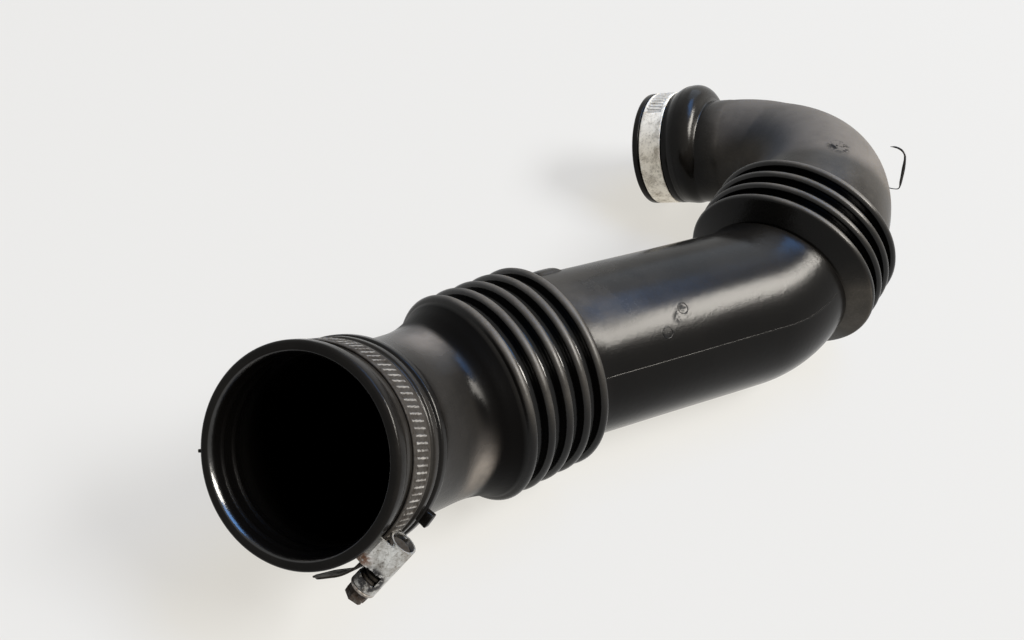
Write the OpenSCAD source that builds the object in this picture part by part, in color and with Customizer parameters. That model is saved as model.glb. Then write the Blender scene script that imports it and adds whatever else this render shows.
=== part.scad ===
// Engine air intake duct: one moulded rubber hose and a worm screw clamp on each cuff.
// Millimetres. The origin lies on the axis of the wide cuff, in the middle of its clamp.
// The duct lies at rest with +Z up and its main pipe along +X.

/* [Walls] */
// Wall of the pipes, the neck and the elbows
hose_wall = 2.6; // [2:0.1:3.2]
// Wall of the folds in both bellows
fold_wall = 1.8; // [1.4:0.1:2]

/* [Mouth cuff] */
// Radius of the bore that slides over the wide spigot
mouth_bore_r = 36.4; // [35:0.1:37]
// Thickness of the cuff where the clamp sits
mouth_cuff_wall = 3.6; // [3:0.1:4.5]
// Height of the lip over the clamp seat
mouth_lip_step = 1.5; // [1:0.1:2]
// Length of the lip
mouth_lip_len = 6; // [4:0.5:8]
// Clear width of the clamp seat
mouth_seat_len = 22; // [20:0.5:26]
// Length of the raised collar behind the seat
mouth_collar_len = 10; // [8:0.5:14]
// Height of the lug on the collar, which marks the place of the screw
mouth_lug_step = 4.5; // [3:0.5:6]
// Depth of the bore, from the mouth to its stop
mouth_bore_len = 36; // [30:0.5:37]

/* [Neck] */
// Outer radius of the neck
neck_r = 37.8; // [36.5:0.1:38.4]
// Angle of the neck bend
neck_bend = 34.5; // [20:0.1:45]
// Direction in which the neck bends
neck_roll = -30; // [-60:1:0]
// Radius of the neck bend, on the centre line
neck_bend_r = 94.5; // [80:0.5:130]
// Length of the flare from the neck to the first fold
flare_len = 4; // [3:0.5:8]

/* [Front bellows] */
// Number of folds
front_folds = 5; // [3:1:7]
// Distance from fold to fold
front_pitch = 9.9; // [9:0.1:12]
// Outer radius of the folds
front_crest_r = 46.8; // [45:0.1:49]
// Radius of the grooves between the folds
front_valley_r = 41; // [40:0.1:42]
// Half width of each fold
front_fold_half = 2.3; // [2.1:0.1:2.6]

/* [Main pipe] */
// Outer radius of the main pipe and the lower elbow
pipe_r = 38.9; // [37.5:0.1:39.8]
// Length of the straight pipe
pipe_len = 96.5; // [60:0.5:130]
// Angle of the slight bend at the start of the pipe
set_bend = 11.2; // [5:0.1:16]
// Direction of the slight bend
set_roll = 22; // [-10:1:60]
// Radius of the slight bend, on the centre line
set_bend_r = 76.5; // [60:0.5:110]
// Height of the key on the back of the pipe
key_height = 3; // [2:0.1:4]
// Length of the key along the pipe
key_len = 11; // [8:0.5:14]

/* [Lower elbow] */
// Angle of the lower elbow
lower_bend = 33.4; // [20:0.1:50]
// Direction of the lower elbow
lower_roll = -119.5; // [-150:0.5:-90]
// Radius of the lower elbow, on the centre line
lower_bend_r = 52.5; // [48:0.5:80]
// Length from the end of the lower elbow to the start of the first rear fold
rear_groove_len = 3.5; // [2.5:0.5:6]
// Depth of the groove between the lower elbow and the first rear fold
rear_groove_depth = 0.9; // [0.6:0.1:1.5]

/* [Rear bellows] */
// Number of folds
rear_folds = 4; // [3:1:6]
// Distance from fold to fold
rear_pitch = 9; // [8.4:0.1:11]
// Outer radius of the folds
rear_crest_r = 49.5; // [47.5:0.1:51]
// Radius of the grooves between the folds
rear_valley_r = 43.5; // [42:0.1:44.5]
// Half width of each fold
rear_fold_half = 2.1; // [2:0.1:2.4]

/* [Upper elbow] */
// Outer radius where the elbow leaves the bellows
elbow_wide_r = 40.5; // [38:0.1:42]
// Outer radius where the elbow meets the outlet
elbow_narrow_r = 29.7; // [28:0.1:31]
// Share of the bend over which the elbow narrows
elbow_taper_end = 0.75; // [0.6:0.05:0.95]
// Distance by which the elbow's end stands off the axis of the outlet
elbow_drop = 3.2; // [1:0.1:4]
// Direction of that distance round the outlet
elbow_drop_turn = 139; // [120:1:160]
// Angle of the upper elbow
upper_bend = 101; // [80:0.5:115]
// Direction of the upper elbow
upper_roll = -167.5; // [-190:0.5:-140]
// Radius of the upper elbow, on the centre line
upper_bend_r = 63.5; // [56:0.5:80]

/* [Outlet cuff] */
// Straight length before the bead
outlet_neck_len = 12; // [8:0.5:16]
// Height of the rounded bead over the cuff
bead_step = 2.1; // [1.5:0.1:4]
// Distance by which the bead stands off the axis of the outlet, away from the elbow's end
bead_lift = 1.4; // [0.5:0.1:2]
// Width of the rounded bead
bead_len = 17; // [14:0.5:20]
// Radius of the bore that slides over the narrow spigot
outlet_bore_r = 29; // [28.4:0.1:29.6]
// Thickness of the cuff where the clamp sits
outlet_cuff_wall = 3.2; // [2.8:0.1:4]
// Height of the lip over the clamp seat
outlet_lip_step = 0.9; // [0.5:0.1:1.5]
// Length of the lip
outlet_lip_len = 4; // [3:0.5:6]
// Clear width of the clamp seat
outlet_seat_len = 14.5; // [14:0.5:20]
// Length of the shoulder between the bead and the seat
outlet_shoulder_len = 2.5; // [2:0.5:6]

/* [Clamps] */
// Width of the steel band
band_w = 13; // [12:0.5:13.5]
// Thickness of the steel band
band_t = 0.7; // [0.5:0.1:0.9]
// Length of the straight strap under the screw
strap_len = 15.5; // [14:0.5:18]
// Length of the free tail past its bend
tail_len = 12; // [8:0.5:16]
// Angle by which the free tail bends back to the cuff
tail_bend = 35; // [25:1:45]
// Radius of the worm over its thread
worm_r = 4.5; // [4:0.1:4.8]
// Sheet thickness of the screw housing
sheet_t = 0.7; // [0.6:0.1:0.9]
// Length of the screw housing
housing_len = 23; // [21:0.5:26]
// Size across the flats of the screw head
head_flats = 8; // [7:0.5:8.5]
// Height of the screw head
head_h = 5; // [4:0.5:6]
// Direction of the front screw round the mouth
front_clamp_turn = 44.5; // [30:0.5:60]
// Direction of the rear screw round the outlet
rear_clamp_turn = 15; // [0:5:40]

/* [Fits] */
// Clearance between the cuff and the band
band_clear = 0.1; // [0.05:0.05:0.2]
// Clearance between the strap and what it slides on
strap_clear = 0.15; // [0.1:0.05:0.2]
// Radial clearance of the screw in its housing
screw_clear = 0.1; // [0.05:0.05:0.2]
// Clearance between the worm and the plain strap, which its thread spans
worm_gap = 0.55; // [0.4:0.05:0.7]
// Clearance round the dent that the foot of a housing leaves in the rubber
dent_clear = 0.1; // [0.05:0.05:0.2]

/* [Hidden] */
$fn = 96;

rubber = [0.09, 0.09, 0.095];
steel = [0.62, 0.6, 0.56];
dark_steel = [0.3, 0.28, 0.26];

// Turn of the mouth from standing on end to lying at rest
rest_turn = [-123.8, -18.3, -46.5];

mouth_seat_r = mouth_bore_r + mouth_cuff_wall;
mouth_lip_r = mouth_seat_r + mouth_lip_step;
mouth_cuff_len = mouth_lip_len + mouth_seat_len + mouth_collar_len;
// The cone that leads from the collar down to the neck
neck_lead = 3.5;
edge_round = 1.3;
mouth_chamfer = 1.3;
// The front clamp sits this far behind the middle of its seat
front_seat_shift = 1.5;
front_seat_z = mouth_lip_len + mouth_seat_len / 2 + front_seat_shift;

outlet_seat_r = outlet_bore_r + outlet_cuff_wall;
outlet_lip_r = outlet_seat_r + outlet_lip_step;
bead_r = outlet_lip_r + bead_step;
// The neck stands a trace proud of the elbow's end
outlet_neck_r = elbow_narrow_r + 0.3;
// The void in the bead is narrower than the one in the neck by this much
bead_void_step = 0.3;
outlet_cuff_len = outlet_shoulder_len + outlet_seat_len + outlet_lip_len;
outlet_len = outlet_neck_len + bead_len + outlet_cuff_len;
outlet_bore_len = outlet_cuff_len - 1;

rear_groove_r = pipe_r - rear_groove_depth;
// The key reaches this far past the slight bend
key_reach = 3;
// The lands at the ends of the bellows stand this far over the bottom of a groove
groove_land = 0.3;
// The flare and the first rear fold's face end this far below the crest
flare_under = 1.3;
// The face of the first rear fold leaves the groove this far before the fold's start
rear_face_lead = 2.1;
// Height of the cones between the grooves at the ends of the bellows and the pipes
groove_lead = 2;
// Rings and sides of the tapered elbow
elbow_rings = 9;
elbow_sides = 26;
// Each straight stretch runs this far into the bends beside it, which are slimmer by the bend step
weld = 0.5;
bend_step = 0.05;
// The strap and the tail's tip are thinner than the ring by this much on each side
strap_trim = 0.03;
// Length by which a void runs past an open end
open_past = 2;

bend_axis_turn = [90, 0, 180];

front_ring_r = mouth_seat_r + band_clear;
rear_ring_r = outlet_seat_r + band_clear;

// Places children past a bend that starts at the origin along +Z
module past_bend(angle, roll, radius) {
    rotate([0, 0, roll])
        translate([radius, 0, 0])
            rotate([0, angle, 0])
                translate([-radius, 0, 0])
                    rotate([0, 0, -roll])
                        children();
}

// Round bar that follows a bend from the origin
module bend_bar(r, angle, roll, radius) {
    rotate([0, 0, roll])
        translate([radius, 0, 0])
            rotate(bend_axis_turn)
                rotate_extrude(angle = angle)
                    translate([radius, 0])
                        circle(r = r - bend_step);
}

// Straight round bar that runs on into the bends at its ends
module welded_bar(h, r1, r2, before, after) {
    cylinder(h = h, r1 = r1, r2 = r2);
    if (before)
        translate([0, 0, -weld])
            cylinder(h = 2 * weld, r = r1);
    if (after)
        translate([0, 0, h - weld])
            cylinder(h = 2 * weld, r = r2);
}

// Points of a ring of the upper elbow, at the share t of its bend and inside its skin by the inset
function elbow_ring(t, inset) =
    let (
        share = min(max(t, 0), 1),
        taper = min(share / elbow_taper_end, 1),
        r = elbow_wide_r + (elbow_narrow_r - elbow_wide_r) * taper - inset,
        drop = elbow_drop * share * share * (3 - 2 * share),
        drop_out = drop * cos(elbow_drop_turn - upper_roll),
        drop_side = drop * sin(elbow_drop_turn - upper_roll)
    )
    [
        for (k = [0 : elbow_sides - 1])
            let (a = 360 * k / elbow_sides, out = upper_bend_r - r * cos(a) - drop_out)
            [
                upper_bend_r - out * cos(upper_bend * t),
                r * sin(a) + drop_side,
                out * sin(upper_bend * t)
            ]
    ];

// Upper elbow: it narrows and drops off its axis along the bend, and is welded at both ends
module upper_elbow_bar(inset) {
    lead = weld / upper_bend_r * 180 / PI / upper_bend;
    rings = [
        for (i = [0 : elbow_rings])
            elbow_ring(-lead + (1 + 2 * lead) * i / elbow_rings, inset)
    ];
    points = [for (ring = rings) each ring];
    sides = [
        for (i = [0 : elbow_rings - 1], k = [0 : elbow_sides - 1])
            let (a = i * elbow_sides, b = a + elbow_sides, n = (k + 1) % elbow_sides)
            [a + k, b + k, b + n, a + n]
    ];
    first = [for (k = [0 : elbow_sides - 1]) k];
    last = [for (k = [elbow_sides - 1 : -1 : 0]) elbow_rings * elbow_sides + k];
    rotate([0, 0, upper_roll])
        polyhedron(points = points, faces = concat(sides, [first], [last]), convexity = 4);
}

// Half section of a bellows from a start: inset is 0 for its outside and the wall for its inside
module bellows_section(folds, pitch, crest_r, valley_r, fold_half, start, inset) {
    groove = pitch / 2 - fold_half;
    half = fold_half - inset;
    // The land at each end runs into the stretch beside it
    for (y = [start, folds * pitch])
        translate([0, y - weld])
            square([valley_r + groove_land - inset, 2 * weld]);
    // The body between the grooves stays under the crests, also where the folds are shallow
    body_r = min(valley_r + groove, crest_r - inset - weld);
    difference() {
        translate([0, start])
            square([body_r, folds * pitch - start]);
        for (i = [0 : folds])
            translate([valley_r + groove, i * pitch])
                circle(r = groove + inset);
    }
    for (i = [0 : folds - 1])
        translate([0, (i + 0.5) * pitch]) {
            translate([0, -half])
                square([crest_r - inset - half, 2 * half]);
            translate([crest_r - inset - half, 0])
                circle(r = half);
        }
}

module front_bellows_bar(inset) {
    rotate_extrude()
        bellows_section(
            front_folds,
            front_pitch,
            front_crest_r,
            front_valley_r,
            front_fold_half,
            0,
            inset
        );
}

// The rear bellows starts in the middle of its first fold, to which a cone leads
module rear_bellows_bar(inset) {
    rotate_extrude()
        bellows_section(
            rear_folds,
            rear_pitch,
            rear_crest_r,
            rear_valley_r,
            rear_fold_half,
            rear_pitch / 2,
            inset
        );
}

// Face of the first rear fold: a steep cone from the groove to just under the crest
module rear_face_bar(wall, fold) {
    foot = rear_groove_len - rear_face_lead;
    middle = rear_groove_len + rear_pitch / 2;
    // The cone ends inside the round of the fold's crest
    crest_start = middle - rear_fold_half * 0.65;
    rise = (rear_crest_r - flare_under - rear_groove_r) / (crest_start - foot);
    // The inner cone stands back along the hose, so that the face keeps the fold's wall
    back = fold * sqrt(1 + 1 / (rise * rise));
    low = rear_groove_r - wall - weld;
    high = min(rear_crest_r - flare_under, rear_groove_r + (middle - foot - back) * rise);
    translate([0, 0, foot + back - (wall + weld) / rise])
        cylinder(h = (high - low) / rise, r1 = low, r2 = high);
}

// Disc with a rounded rim, for lips and collars
module round_edged_disc(r, h, edge) {
    rotate_extrude() {
        square([r - edge, h]);
        translate([0, edge])
            square([r, h - 2 * edge]);
        for (y = [edge, h - edge])
            translate([r - edge, y])
                circle(r = edge);
    }
}

// The stations along the hose, each in the frame of the one before
module at_neck() {
    translate([0, 0, mouth_cuff_len + neck_lead])
        children();
}
module at_flare() {
    at_neck()
        past_bend(neck_bend, neck_roll, neck_bend_r)
            children();
}
module at_front_bellows() {
    at_flare()
        translate([0, 0, flare_len])
            children();
}
module at_set() {
    at_front_bellows()
        translate([0, 0, front_folds * front_pitch])
            children();
}
module at_pipe() {
    at_set()
        past_bend(set_bend, set_roll, set_bend_r)
            children();
}
module at_lower_elbow() {
    at_pipe()
        translate([0, 0, pipe_len])
            children();
}
module at_rear_groove() {
    at_lower_elbow()
        past_bend(lower_bend, lower_roll, lower_bend_r)
            children();
}
module at_rear_bellows() {
    at_rear_groove()
        translate([0, 0, rear_groove_len])
            children();
}
module at_upper_lead() {
    at_rear_bellows()
        translate([0, 0, rear_folds * rear_pitch])
            children();
}
module at_upper_elbow() {
    at_upper_lead()
        translate([0, 0, groove_lead])
            children();
}
module at_outlet() {
    at_upper_elbow()
        past_bend(upper_bend, upper_roll, upper_bend_r)
            children();
}
module at_outlet_mouth() {
    at_outlet()
        translate([0, 0, outlet_len])
            children();
}

// Where the clamps sit, with +X towards the screw and +Z along the cuff
module at_front_seat() {
    translate([0, 0, front_seat_z])
        rotate([0, 0, front_clamp_turn])
            children();
}
module at_rear_seat() {
    at_outlet_mouth()
        translate([0, 0, -outlet_lip_len - outlet_seat_len / 2])
            rotate([0, 0, rear_clamp_turn])
                children();
}

// The hose laid down as it rests, with the origin inside the front clamp
module at_rest() {
    rotate(rest_turn)
        translate([0, 0, -front_seat_z])
            children();
}

module mouth_cuff_bar() {
    collar_z = mouth_lip_len + mouth_seat_len;
    round_edged_disc(mouth_lip_r, mouth_lip_len, edge_round);
    cylinder(h = mouth_cuff_len, r = mouth_seat_r);
    translate([0, 0, collar_z])
        round_edged_disc(mouth_lip_r - 0.3, mouth_collar_len / 3, 0.8);
    translate([0, 0, collar_z + mouth_collar_len / 2])
        round_edged_disc(mouth_lip_r + 0.2, mouth_collar_len / 2, edge_round);
    translate([0, 0, mouth_cuff_len])
        welded_bar(neck_lead, mouth_seat_r, neck_r, false, true);
}

module mouth_cuff_void() {
    translate([0, 0, -open_past])
        cylinder(h = mouth_bore_len + open_past, r = mouth_bore_r);
    translate([0, 0, -open_past])
        cylinder(
            h = open_past + 2 * mouth_chamfer,
            r1 = mouth_bore_r + mouth_chamfer + open_past / 2,
            r2 = mouth_bore_r
        );
    translate([0, 0, mouth_bore_len])
        cylinder(h = mouth_cuff_len + neck_lead + weld - mouth_bore_len, r = neck_r - hose_wall);
}

// Bar along the whole hose: inset is 0 for its outside and 1 for its inside
module hose_bar(inset) {
    wall = inset * hose_wall;
    fold = inset * fold_wall;
    at_neck()
        bend_bar(neck_r - wall, neck_bend, neck_roll, neck_bend_r);
    at_flare()
        welded_bar(
            flare_len + front_pitch / 2,
            neck_r - wall,
            front_crest_r - flare_under - fold,
            true,
            false
        );
    at_front_bellows()
        front_bellows_bar(fold);
    at_set()
        bend_bar(pipe_r - wall, set_bend, set_roll, set_bend_r);
    at_set()
        cylinder(h = groove_lead, r1 = front_valley_r - fold - weld, r2 = pipe_r - wall - weld);
    at_pipe()
        welded_bar(pipe_len, pipe_r - wall, pipe_r - wall, true, true);
    at_lower_elbow()
        bend_bar(pipe_r - wall, lower_bend, lower_roll, lower_bend_r);
    at_rear_groove()
        welded_bar(rear_groove_len, rear_groove_r - wall, rear_groove_r - wall, true, false);
    at_rear_groove()
        rear_face_bar(wall, fold);
    at_rear_bellows()
        rear_bellows_bar(fold);
    at_upper_lead()
        cylinder(h = groove_lead, r1 = rear_valley_r - fold - weld, r2 = elbow_wide_r - wall - weld);
    at_upper_elbow()
        upper_elbow_bar(wall);
}

// Moves children off the axis of the outlet, towards the elbow's end
module off_outlet_axis(distance) {
    rotate([0, 0, elbow_drop_turn])
        translate([distance, 0, 0])
            children();
}

module outlet_cuff_bar() {
    cuff_z = outlet_neck_len + bead_len;
    seat_z = cuff_z + outlet_shoulder_len;
    bead_half = bead_len / 2;
    off_outlet_axis(elbow_drop)
        cylinder(h = outlet_neck_len + bead_half, r = outlet_neck_r);
    off_outlet_axis(-bead_lift)
        rotate_extrude()
            translate([bead_r - bead_half, outlet_neck_len + bead_half])
                circle(r = bead_half);
    translate([0, 0, cuff_z - bead_len / 4])
        round_edged_disc(outlet_lip_r, outlet_shoulder_len + bead_len / 4, 0.8);
    translate([0, 0, cuff_z])
        cylinder(h = outlet_cuff_len, r = outlet_seat_r);
    translate([0, 0, seat_z + outlet_seat_len])
        round_edged_disc(outlet_lip_r, outlet_lip_len, edge_round);
}

module outlet_cuff_void() {
    neck_void_r = outlet_neck_r - hose_wall;
    // The neck's void and the bead's run into each other inside the thick bead
    off_outlet_axis(elbow_drop)
        cylinder(h = outlet_neck_len + bead_len / 3, r = neck_void_r);
    translate([0, 0, outlet_neck_len + bead_len / 12])
        cylinder(h = bead_len + open_past, r = neck_void_r - bead_void_step);
    translate([0, 0, outlet_len - outlet_bore_len])
        cylinder(h = outlet_bore_len + open_past, r = outlet_bore_r);
}

// Short raised key on the back of the pipe, behind the front bellows
module pipe_key() {
    at_pipe()
        rotate([0, 0, -145])
            rotate_extrude(angle = 53)
                translate([pipe_r - hose_wall / 2, key_reach - key_len])
                    square([hose_wall / 2 + key_height, key_len]);
}

// Lug on the rear half of the collar, beside the screw of the front clamp
module mouth_lug() {
    rotate([0, 0, front_clamp_turn - 10.5])
        rotate_extrude(angle = 11)
            translate([mouth_seat_r - 1, mouth_cuff_len - mouth_collar_len / 2 + 0.2])
                square([1 + mouth_lip_step + mouth_lug_step, mouth_collar_len / 2 - 0.4]);
}

// Dent that the foot of a housing has pressed into the rubber under the ring
module foot_dent(ring_r) {
    base_r = foot_base_r(ring_r) - dent_clear;
    half_w = foot_half_w + sheet_t + dent_clear;
    difference() {
        translate([ring_r * 0.85, foot_start - dent_clear, -half_w])
            cube([ring_r * 0.25, foot_len + 2 * dent_clear, 2 * half_w]);
        translate([0, 0, -band_w])
            cylinder(h = 2 * band_w, r = base_r);
    }
}

module duct_hose() {
    color(rubber)
        at_rest()
            difference() {
                union() {
                    mouth_cuff_bar();
                    hose_bar(0);
                    at_outlet()
                        outlet_cuff_bar();
                    pipe_key();
                    mouth_lug();
                }
                union() {
                    mouth_cuff_void();
                    hose_bar(1);
                    at_outlet()
                        outlet_cuff_void();
                    at_front_seat()
                        foot_dent(front_ring_r);
                    at_rear_seat()
                        foot_dent(rear_ring_r);
                }
            }
}

module at_front_clamp() {
    at_rest()
        at_front_seat()
            children();
}
module at_rear_clamp() {
    at_rest()
        at_rear_seat()
            children();
}

// Distance from the centre of a ring to the axis of its screw
function screw_x(ring_r) = ring_r + band_t + worm_gap + worm_r;
// Inner radius of the housing over the worm
housing_in_r = worm_r + screw_clear;
housing_out_r = housing_in_r + sheet_t;
// The foot of the housing wraps the strap and the ring below it
foot_start = 1.5;
foot_len = strap_len - foot_start - 1;
foot_half_w = band_w / 2 + strap_clear;

// Band: the ring, the strap that leaves it under the screw and the free tail
module clamp_band(ring_r) {
    tail_r = 20;
    rotate_extrude()
        translate([ring_r, -band_w / 2])
            square([band_t, band_w]);
    // Strap: the ring's band runs on straight, over the ring's start, a trace thinner
    translate([ring_r + strap_trim, 0, -band_w / 2])
        cube([band_t - 2 * strap_trim, strap_len + weld, band_w]);
    // Tail: the strap turns back towards the cuff and ends in a blunt point
    translate([ring_r - tail_r, strap_len, -band_w / 2])
        rotate_extrude(angle = tail_bend)
            translate([tail_r, 0])
                square([band_t, band_w]);
    translate([ring_r - tail_r, strap_len, 0])
        rotate([0, 0, tail_bend])
            translate([tail_r + strap_trim, 0, 0])
                rotate([0, 90, 0])
                    linear_extrude(height = band_t - 2 * strap_trim)
                        polygon([
                            [-band_w / 2, -weld],
                            [band_w / 2, -weld],
                            [band_w / 2, tail_len * 0.6],
                            [band_w / 5, tail_len],
                            [-band_w / 5, tail_len],
                            [-band_w / 2, tail_len * 0.6]
                        ]);
}

// Section of the foot, from the tube down past the strap to inside the ring
module foot_section(ring_r, inset) {
    half = foot_half_w + sheet_t - inset;
    low = ring_r * 0.85;
    high = screw_x(ring_r);
    polygon([
        [low, -half],
        [ring_r + band_t + strap_clear, -half],
        [high, -housing_out_r + inset],
        [high, housing_out_r - inset],
        [ring_r + band_t + strap_clear, half],
        [low, half]
    ]);
}

// Inner radius of the foot's base, which lies inside the ring
function foot_base_r(ring_r) = ring_r - strap_clear - sheet_t;

// Foot's section drawn out along the screw, from a start over a length, outside a radius
module foot_bar(ring_r, inset, start, len, base_r) {
    difference() {
        translate([0, start, 0])
            rotate([-90, 0, 0])
                linear_extrude(height = len)
                    foot_section(ring_r, inset);
        translate([0, 0, -band_w])
            cylinder(h = 2 * band_w, r = base_r);
    }
}

// Housing: a rolled sheet tube for the worm, with a foot that wraps the strap and the ring
module clamp_housing(ring_r) {
    window_start = housing_len * 0.62;
    window_len = housing_len * 0.22;
    difference() {
        union() {
            translate([screw_x(ring_r), 0, 0])
                rotate([-90, 0, 0])
                    cylinder(h = housing_len, r = housing_out_r);
            foot_bar(ring_r, 0, foot_start, foot_len, foot_base_r(ring_r));
        }
        // Bore of the worm, with the stop ring left at the head's end
        translate([screw_x(ring_r), -1, 0])
            rotate([-90, 0, 0])
                cylinder(h = housing_len - 1.5 + 1, r = housing_in_r);
        translate([screw_x(ring_r), 0, 0])
            rotate([-90, 0, 0])
                cylinder(h = housing_len + 1, r = worm_r * 0.6 + screw_clear);
        foot_bar(
            ring_r,
            sheet_t,
            foot_start - 1,
            foot_len + 2,
            foot_base_r(ring_r) + sheet_t
        );
        // Window on the mouth side, near the head
        translate([screw_x(ring_r) - housing_out_r, window_start, -housing_out_r - 1])
            cube([2 * housing_out_r - 1.5, window_len, housing_out_r]);
        // The tube stays clear of the tail
        translate([0, foot_start + foot_len, -band_w / 2 - 1])
            cube([ring_r + band_t + strap_clear, housing_len, band_w + 2]);
    }
}

// Screw: the worm, its neck, a collar and a slotted hexagon head
module clamp_screw(ring_r) {
    worm_start = 1.5;
    worm_end = housing_len - 1.5 - 0.3;
    collar_h = 1.4;
    head_z = housing_len + 0.3;
    head_corner_r = head_flats / 2 / cos(30);
    slot_w = 1.4;
    // The neck runs this far into the worm and the collar
    neck_lap = 1;
    translate([screw_x(ring_r), 0, 0])
        rotate([-90, 0, 0])
            difference() {
                union() {
                    translate([0, 0, worm_start])
                        cylinder(h = worm_end - worm_start, r = worm_r);
                    translate([0, 0, worm_end - neck_lap])
                        cylinder(h = head_z - worm_end + 2 * neck_lap, r = worm_r * 0.6);
                    translate([0, 0, head_z])
                        cylinder(h = collar_h, r = housing_out_r);
                    translate([0, 0, head_z + collar_h])
                        cylinder(h = head_h, r = head_corner_r, $fn = 6);
                }
                translate([-head_flats, -slot_w / 2, head_z + collar_h + head_h / 2])
                    cube([2 * head_flats, slot_w, head_h]);
            }
}

module front_clamp_band() {
    color(steel)
        at_front_clamp()
            clamp_band(front_ring_r);
}
module front_clamp_housing() {
    color(steel)
        at_front_clamp()
            clamp_housing(front_ring_r);
}
module front_clamp_screw() {
    color(dark_steel)
        at_front_clamp()
            clamp_screw(front_ring_r);
}
module rear_clamp_band() {
    color(steel)
        at_rear_clamp()
            clamp_band(rear_ring_r);
}
module rear_clamp_housing() {
    color(steel)
        at_rear_clamp()
            clamp_housing(rear_ring_r);
}
module rear_clamp_screw() {
    color(dark_steel)
        at_rear_clamp()
            clamp_screw(rear_ring_r);
}

duct_hose();
front_clamp_band();
front_clamp_housing();
front_clamp_screw();
rear_clamp_band();
rear_clamp_housing();
rear_clamp_screw();
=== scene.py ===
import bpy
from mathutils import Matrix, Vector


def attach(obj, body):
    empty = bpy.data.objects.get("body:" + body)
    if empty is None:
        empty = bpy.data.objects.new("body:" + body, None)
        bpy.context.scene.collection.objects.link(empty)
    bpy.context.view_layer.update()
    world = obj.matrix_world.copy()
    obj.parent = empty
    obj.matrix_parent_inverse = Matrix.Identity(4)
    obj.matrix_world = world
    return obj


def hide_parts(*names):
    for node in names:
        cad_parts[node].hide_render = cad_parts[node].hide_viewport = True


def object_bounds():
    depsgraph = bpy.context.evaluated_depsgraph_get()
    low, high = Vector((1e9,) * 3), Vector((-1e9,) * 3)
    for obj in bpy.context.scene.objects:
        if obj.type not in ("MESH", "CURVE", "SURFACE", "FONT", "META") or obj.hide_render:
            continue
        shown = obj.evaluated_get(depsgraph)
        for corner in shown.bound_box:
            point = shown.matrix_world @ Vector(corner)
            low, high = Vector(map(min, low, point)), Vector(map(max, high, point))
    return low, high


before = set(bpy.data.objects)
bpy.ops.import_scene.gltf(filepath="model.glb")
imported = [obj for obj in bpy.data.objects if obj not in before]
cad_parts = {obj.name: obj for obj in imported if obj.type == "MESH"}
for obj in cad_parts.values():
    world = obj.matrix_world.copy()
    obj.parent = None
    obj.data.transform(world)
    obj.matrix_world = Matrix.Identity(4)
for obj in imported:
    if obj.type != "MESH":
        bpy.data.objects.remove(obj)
cad_box = [list(corner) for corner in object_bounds()]

from math import ceil, cos, degrees, exp, pi, radians, sin, sqrt

import bmesh
import bpy
from mathutils import Matrix, Vector, noise

# Hose. One hollow moulding of black rubber, blown in a mould of two halves: wide cuff,
# bent neck, five folds, long pipe, lower elbow, four folds, tapered upper elbow, bead
# and narrow cuff. It is pushed on to a spigot at each end.
MM = 0.001  # Sizes are millimetres, and a finished mesh is in metres
SIDES = 128  # Corners round the hose

LIP_R, CUFF_R, CUFF_BORE_R = 41.5, 40.0, 36.4
COLLAR_R = 41.7
# Where the lip, the clamp's seat and the cuff end, and where the neck has its own size
LIP_TO, SEAT_TO, CUFF_TO, NECK_FROM = 7, 32, 41, 44
NECK_R, NECK_BORE_R = 37.8, 35.2
FRONT_FOLDS = {"count": 5, "pitch": 9.9, "crest": 46.8, "valley": 41.0, "half": 2.3}
PIPE_R, PIPE_BORE_R = 38.9, 36.3
REAR_FOLDS = {"count": 4, "pitch": 9.0, "crest": 49.5, "valley": 43.5, "half": 2.1}
FOLD_WALL = 1.8
ELBOW_R, ELBOW_BORE_R = 40.5, 37.9
OUTLET_R, OUTLET_BORE_R = 29.7, 27.1
SHOULDER_R = 33.1
NARROW_R, NARROW_BORE_R = 32.2, 29.0


def turn(angle, axis):
    return Matrix.Rotation(radians(angle), 4, axis)


def move(x, y, z):
    return Matrix.Translation((x, y, z))


def past_bend(angle, roll, radius):
    """The frame at the end of a bend that starts along +Z."""
    centre = turn(roll, "Z") @ move(radius, 0, 0)
    return centre @ turn(angle, "Y") @ move(-radius, 0, 0) @ turn(-roll, "Z")


def bent(angle, roll, radius):
    """A stretch with a bend: its length, and the bend."""
    return radians(angle) * radius, (angle, roll, radius)


# The centre line from the wide mouth to the narrow one: length and bend of each stretch
STRETCHES = {
    "cuff": (41.5, None),
    "neck": bent(34.5, -30, 94.5),
    "flare": (4.0, None),
    "front": (FRONT_FOLDS["count"] * FRONT_FOLDS["pitch"], None),
    "set": bent(11.2, 22, 76.5),
    "pipe": (96.5, None),
    "lower": bent(33.4, -119.5, 52.5),
    "groove": (3.5, None),
    "rear": (REAR_FOLDS["count"] * REAR_FOLDS["pitch"], None),
    "lead": (2.0, None),
    "upper": bent(101, -167.5, 63.5),
    "outlet": (50.0, None),
}
# The origin is the middle of the front clamp's seat, and REST is how the duct lies
FRONT_SEAT = 18.5
REST = turn(-46.5, "Z") @ turn(-18.3, "Y") @ turn(-123.8, "X")
START = {}
PLACES = {}
along = 0.0
here = REST @ move(0, 0, -FRONT_SEAT)
for stretch, (length, bend) in STRETCHES.items():
    START[stretch] = along
    PLACES[stretch] = here.copy()
    here = here @ (past_bend(*bend) if bend else move(0, 0, length))
    along += length
HOSE_END = along
OUTLET_MOUTH = here.copy()


def hose_frame(s):
    """The frame on the hose's centre line, s along it from the wide mouth."""
    for stretch, (length, bend) in STRETCHES.items():
        if s <= START[stretch] + length or stretch == "outlet":
            z = s - START[stretch]
            if bend is None or z < 0:
                return PLACES[stretch] @ move(0, 0, z)
            angle, roll, radius = bend
            return PLACES[stretch] @ past_bend(angle * z / length, roll, radius)


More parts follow.
